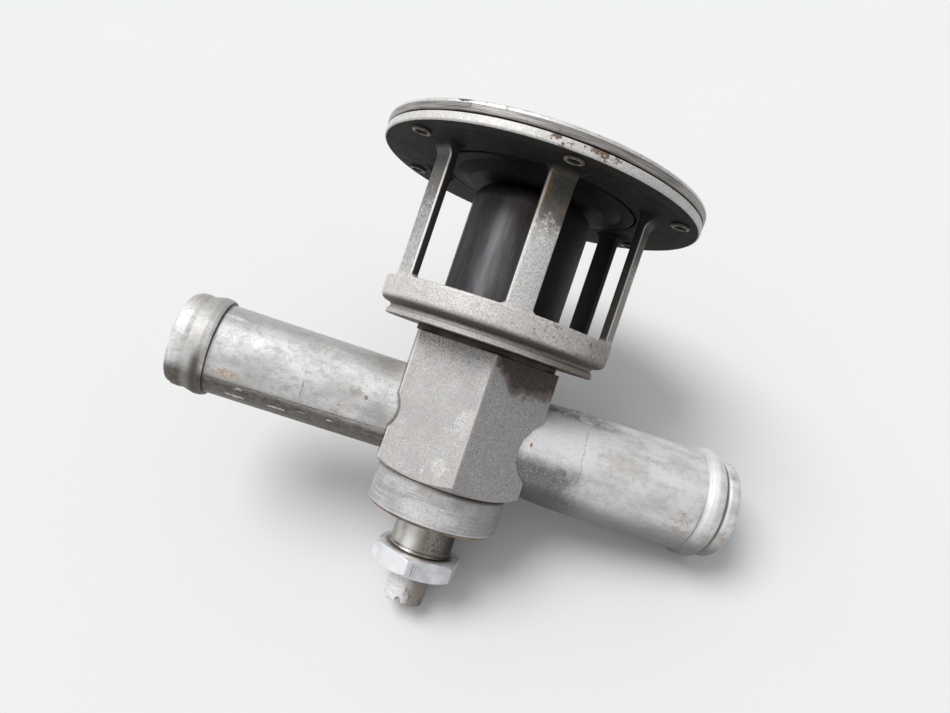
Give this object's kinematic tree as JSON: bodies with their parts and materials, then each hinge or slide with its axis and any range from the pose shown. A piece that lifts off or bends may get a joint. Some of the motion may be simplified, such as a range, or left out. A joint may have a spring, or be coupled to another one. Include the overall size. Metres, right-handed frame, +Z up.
{
  "type": "pressure_regulating_valve",
  "caption": "Pressure regulating valve: hexagon body with two beaded hose nipples, six-window cage, riveted cover over a diaphragm, lifting cup and a locked adjusting screw.",
  "frame": {"origin": "where the line through the two hose nipples crosses the main axis, which runs through the cover, the cage and the adjusting screw", "axes": "+Z up the main axis to the cover, +X out of the larger nipple, +Y level, to the back"},
  "size_m": [0.1023, 0.0588, 0.0823],
  "materials": {
    "bar_aluminium": "blasted",
    "tube_aluminium": "satin",
    "dark_anodised_aluminium": "satin",
    "turned_steel": "turned",
    "zinc_plated_steel": "zinc plated",
    "spring_steel": "oiled",
    "black_rubber": "matte"
  },
  "bodies": {
    "valve": {"valve_body": "bar_aluminium", "inlet_nipple": "tube_aluminium", "outlet_nipple": "tube_aluminium", "cage_gasket": "black_rubber", "cage": "bar_aluminium", "cover_plate": "bar_aluminium", "cover_rivet_1": "zinc_plated_steel", "cover_rivet_2": "zinc_plated_steel", "cover_rivet_3": "zinc_plated_steel", "cover_rivet_4": "zinc_plated_steel", "cover_rivet_5": "zinc_plated_steel", "cover_rivet_6": "zinc_plated_steel", "diaphragm": "black_rubber", "seat_ring": "black_rubber", "regulating_spring": "spring_steel", "screw_bushing": "turned_steel", "screw_o_ring": "black_rubber", "end_cap": "bar_aluminium", "end_cap_o_ring": "black_rubber"},
    "lift": {"valve_cup": "dark_anodised_aluminium", "lift_stud": "zinc_plated_steel", "lift_nut": "zinc_plated_steel", "lower_diaphragm_plate": "dark_anodised_aluminium", "upper_diaphragm_plate": "zinc_plated_steel"},
    "carriage": {"spring_anchor": "bar_aluminium", "anchor_pin": "turned_steel"},
    "screw": {"adjusting_screw": "zinc_plated_steel"},
    "nut": {"lock_nut": "zinc_plated_steel"}
  },
  "joints": [
    {"name": "valve_lift", "type": "slide", "parent": "valve", "child": "lift", "axis": [0, 0, 1], "range_m": [0, 0.001], "stiffness_N_per_m": 2000, "deforming": ["regulating_spring", "diaphragm"]},
    {"name": "screw_advance", "type": "slide", "parent": "valve", "child": "carriage", "axis": [0, 0, 1], "range_m": [-0.00212, 0.00212], "deforming": ["regulating_spring"]},
    {"name": "screw_turn", "type": "hinge", "parent": "carriage", "child": "screw", "pos_m": [0, 0, -0.03335], "axis": [0, 0, 1], "range_deg": [-720, 720]},
    {"name": "lock_nut_turn", "type": "hinge", "parent": "valve", "child": "nut", "pos_m": [0, 0, -0.02345], "axis": [0, 0, 1], "range_deg": [-360, 0]}
  ],
  "couplings": [
    {"joint": "screw_turn", "follows": "screw_advance", "rad_per_m": 5938.7}
  ]
}
